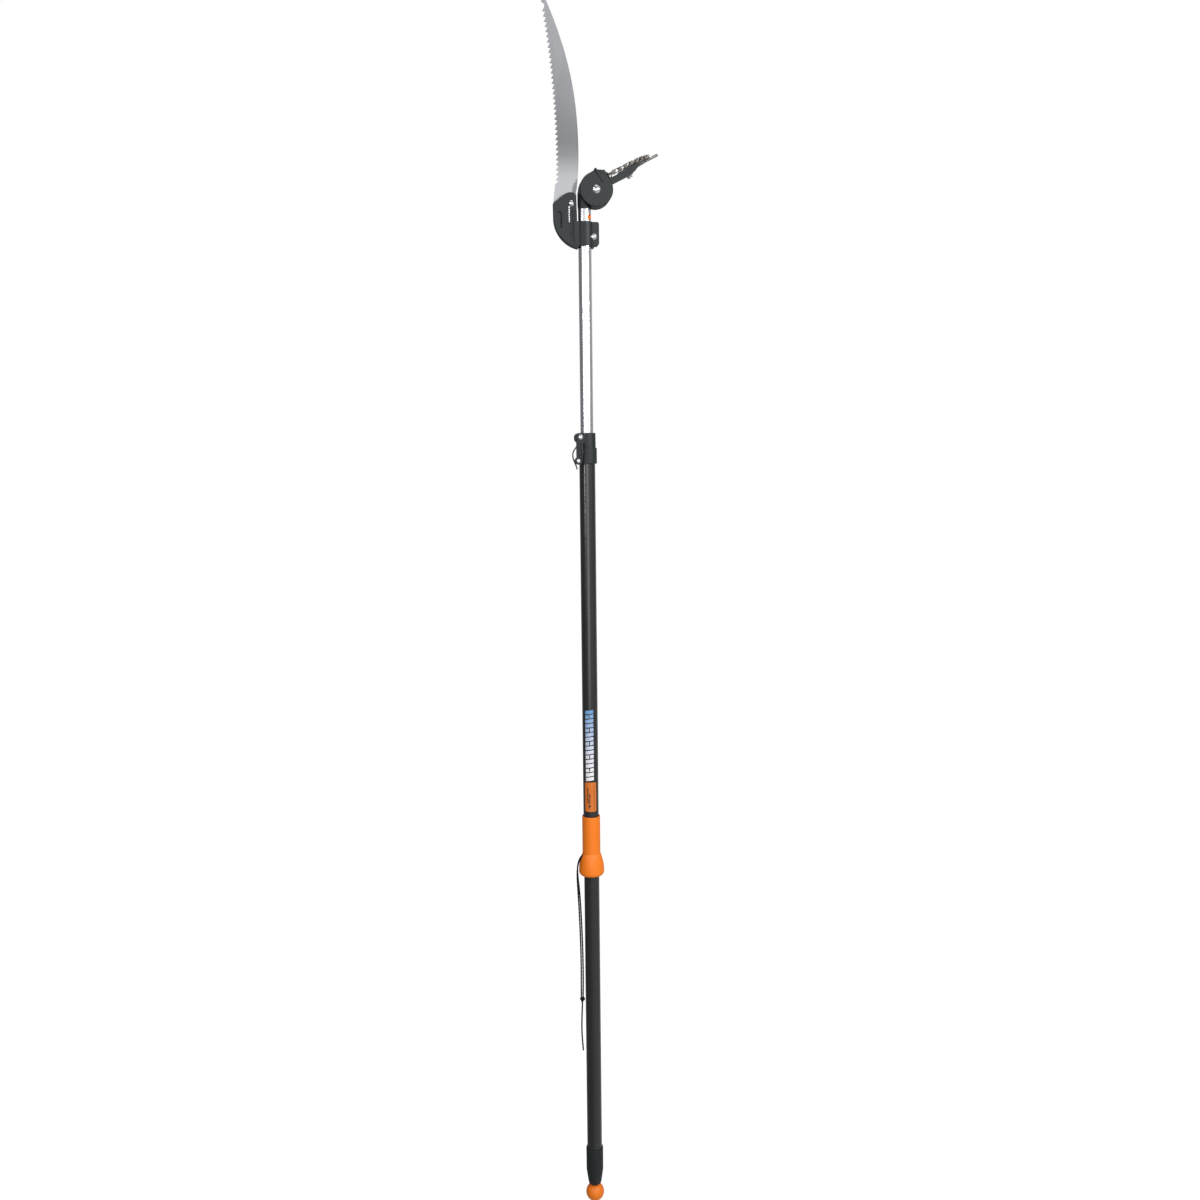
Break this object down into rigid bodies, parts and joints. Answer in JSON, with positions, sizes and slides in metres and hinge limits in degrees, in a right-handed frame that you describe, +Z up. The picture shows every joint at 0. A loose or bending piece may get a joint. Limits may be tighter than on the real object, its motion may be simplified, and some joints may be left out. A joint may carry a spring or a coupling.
{
  "type": "telescoping pole saw",
  "caption": "Two-part telescoping pole with a clamp lever, a curved pull saw and a swivelling chain-driven pruning head worked by a sliding grip or a pull ball.",
  "frame": {"origin": "on the pole axis at the hand hold on the outer pole, 250 mm below the telescoping clamp", "axes": "+Z up the pole towards the saw, +X towards the pruning head's arm, -X the saw's teeth, -Y the front"},
  "size_m": [0.2364, 0.0809, 2.469],
  "materials": {
    "pole_black": "satin black coated tube, glossier above",
    "pole_silver": "bright drawn and clear anodised",
    "black_plastic": "fine moulded texture",
    "orange_plastic": "semi-gloss moulded",
    "nylon": "plain moulded",
    "zinc_steel": "bright zinc plate",
    "spring_steel": "oiled wire",
    "chain_steel": "oiled nickel plate",
    "blade_steel": "ground lengthwise",
    "label_film": "printed film",
    "black_cord": "braided polyester",
    "white_rope": "braided polyester"
  },
  "bodies": {
    "outer_pole": {"outer_pole_tube": "pole_black", "pole_guide_bush": "nylon", "collapse_stop": "nylon", "pole_end_boot": "black_plastic", "boot_rope_bush": "nylon", "clamp_collar": "black_plastic", "lever_bolt": "zinc_steel", "lever_bolt_nut": "zinc_steel", "collar_screw": "zinc_steel", "grip_label": "label_film"},
    "clamp_lever": {"clamp_lever": "black_plastic", "lever_end_screw": "zinc_steel", "lever_cord": "black_cord"},
    "inner_pole": {"inner_pole_tube": "pole_silver", "inner_pole_foot": "nylon", "neck_socket": "black_plastic", "button_spring": "spring_steel", "drive_rope": "white_rope", "saw_holder": "black_plastic", "saw_holder_back": "black_plastic", "saw_blade": "blade_steel", "blade_screw": "zinc_steel", "bracket_screw": "zinc_steel", "holder_nuts": "zinc_steel"},
    "lock_button": {"lock_button": "orange_plastic"},
    "pruning_head": {"head_shell_front": "black_plastic", "head_casting": "black_plastic", "shell_screws": "zinc_steel", "swivel_bolt": "zinc_steel", "swivel_washer": "nylon", "hook_plate": "blade_steel", "hook_screw": "zinc_steel", "pivot_bolt": "zinc_steel", "pivot_washers": "zinc_steel", "pivot_nut": "zinc_steel", "return_spring": "spring_steel"},
    "swivel_knob": {"swivel_knob": "black_plastic"},
    "rope_drum": {"rope_drum": "nylon", "drum_rope": "white_rope", "winch_cable": "chain_steel"},
    "pruner_blade": {"pruner_blade": "blade_steel", "blade_chain": "chain_steel"},
    "chain_link_a": {"chain_link_a": "chain_steel"},
    "chain_link_b": {"chain_link_b": "chain_steel"},
    "chain_run": {"chain_run": "chain_steel", "chain_clevis": "chain_steel", "head_cable": "chain_steel"},
    "grip": {"grip_body": "orange_plastic", "grip_liner": "nylon", "rope_traveller": "nylon", "link_pin": "zinc_steel", "cord_strand_a": "black_cord", "cord_strand_b": "black_cord", "cord_tail": "black_cord", "cord_knot": "black_cord"},
    "pull_ball": {"pull_ball": "orange_plastic", "ball_rope": "white_rope", "ball_ferrule": "zinc_steel"}
  },
  "joints": [
    {"name": "pole_extend", "type": "slide", "parent": "outer_pole", "child": "inner_pole", "axis": [0, 0, 1], "range_m": [0, 1.25]},
    {"name": "clamp_lever_turn", "type": "hinge", "parent": "outer_pole", "child": "clamp_lever", "pos_m": [-0.016, -0.019, 0.303], "axis": [0, 1, 0], "range_deg": [0, 110]},
    {"name": "head_swivel", "type": "hinge", "parent": "inner_pole", "child": "pruning_head", "pos_m": [0.0212, 0, 0.775], "axis": [0, 1, 0], "range_deg": [-45, 95]},
    {"name": "swivel_knob_turn", "type": "hinge", "parent": "pruning_head", "child": "swivel_knob", "pos_m": [0.0212, 0.025, 0.775], "axis": [0, 1, 0], "range_deg": [0, 180]},
    {"name": "lock_button_press", "type": "slide", "parent": "inner_pole", "child": "lock_button", "axis": [-0.6929, 0.721, 0], "range_m": [0, 0.003], "stiffness_N_per_m": 500, "springref_m": -0.004},
    {"name": "grip_slide", "type": "slide", "parent": "outer_pole", "child": "grip", "axis": [0, 0, -1], "range_m": [0, 0.11], "stiffness_N_per_m": 20, "springref_m": -0.25},
    {"name": "ball_pull", "type": "slide", "parent": "outer_pole", "child": "pull_ball", "axis": [0, 0, -1], "range_m": [0, 0.11]},
    {"name": "drum_turn", "type": "hinge", "parent": "pruning_head", "child": "rope_drum", "pos_m": [0.0212, 0, 0.775], "axis": [0, -1, 0], "range_deg": [0, 242.41]},
    {"name": "blade_close", "type": "hinge", "parent": "pruning_head", "child": "pruner_blade", "pos_m": [0.09102, 0.0395, 0.82741], "axis": [0.454, 0, -0.891], "range_deg": [0, 30.1]},
    {"name": "chain_pin_a", "type": "hinge", "parent": "pruner_blade", "child": "chain_link_a", "pos_m": [0.11268, -0.00246, 0.83845], "axis": [0.454, 0, -0.891], "range_deg": [-7.53, 0]},
    {"name": "chain_pin_b", "type": "hinge", "parent": "chain_link_a", "child": "chain_link_b", "pos_m": [0.10224, -0.00734, 0.83312], "axis": [0.454, 0, -0.891], "range_deg": [-15.06, 0]},
    {"name": "chain_pin_c", "type": "hinge", "parent": "chain_link_b", "child": "chain_run", "pos_m": [0.09102, -0.009, 0.82741], "axis": [0.454, 0, -0.891], "range_deg": [-7.53, 0]}
  ],
  "couplings": [
    {"joint": "ball_pull", "follows": "grip_slide", "ratio": 1},
    {"joint": "drum_turn", "follows": "grip_slide", "rad_per_m": 38.462},
    {"joint": "blade_close", "follows": "grip_slide", "rad_per_m": 4.7747},
    {"joint": "chain_pin_a", "follows": "grip_slide", "rad_per_m": -1.1937},
    {"joint": "chain_pin_b", "follows": "grip_slide", "rad_per_m": -2.3874},
    {"joint": "chain_pin_c", "follows": "grip_slide", "rad_per_m": -1.1937}
  ]
}
